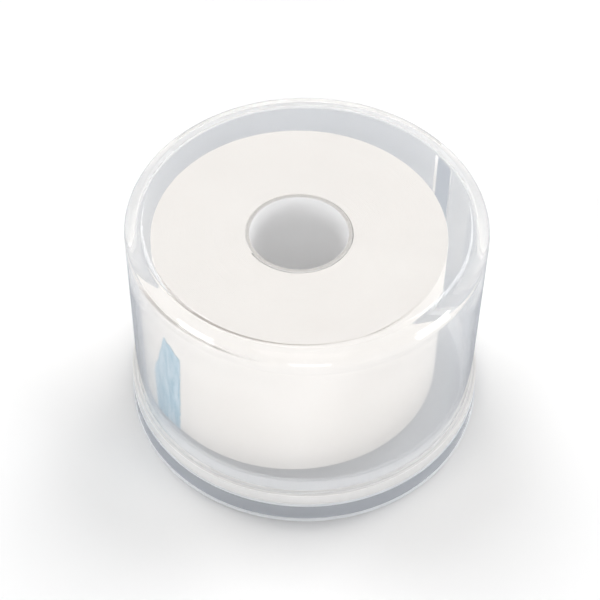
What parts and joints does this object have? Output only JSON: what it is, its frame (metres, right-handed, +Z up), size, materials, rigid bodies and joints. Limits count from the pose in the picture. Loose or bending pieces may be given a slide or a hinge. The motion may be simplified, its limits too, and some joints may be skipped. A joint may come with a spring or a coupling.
{
  "type": "tape roll in a dispenser case",
  "caption": "Roll of soft white grip tape on a card core, standing loose in a clear round case with a lift-off cover, a dispensing slot in its wall and a shallow base.",
  "frame": {"origin": "centre of the case on the surface that it stands on", "axes": "+Z up along the case's axis, +X towards the dispensing slot"},
  "size_m": [0.099, 0.099, 0.0683],
  "materials": {
    "clear_base": "clear, polished",
    "clear_cover": "clear, polished, slightly hazy",
    "card": "plain pale card",
    "tape": "soft white, matte",
    "film": "thin pale-blue film, torn edge"
  },
  "bodies": {
    "base": {"base": "clear_base"},
    "cover": {"cover": "clear_cover"},
    "roll": {"core": "card", "tape": "tape", "end_tab": "film"}
  },
  "joints": [
    {"name": "cover_lift", "type": "slide", "parent": "base", "child": "cover", "axis": [0, 0, 1], "range_m": [0, 0.07]},
    {"name": "roll_spin", "type": "hinge", "parent": "base", "child": "roll", "pos_m": [0.0008, 0.00456, 0.0072], "axis": [0, 0, 1], "continuous": true}
  ]
}
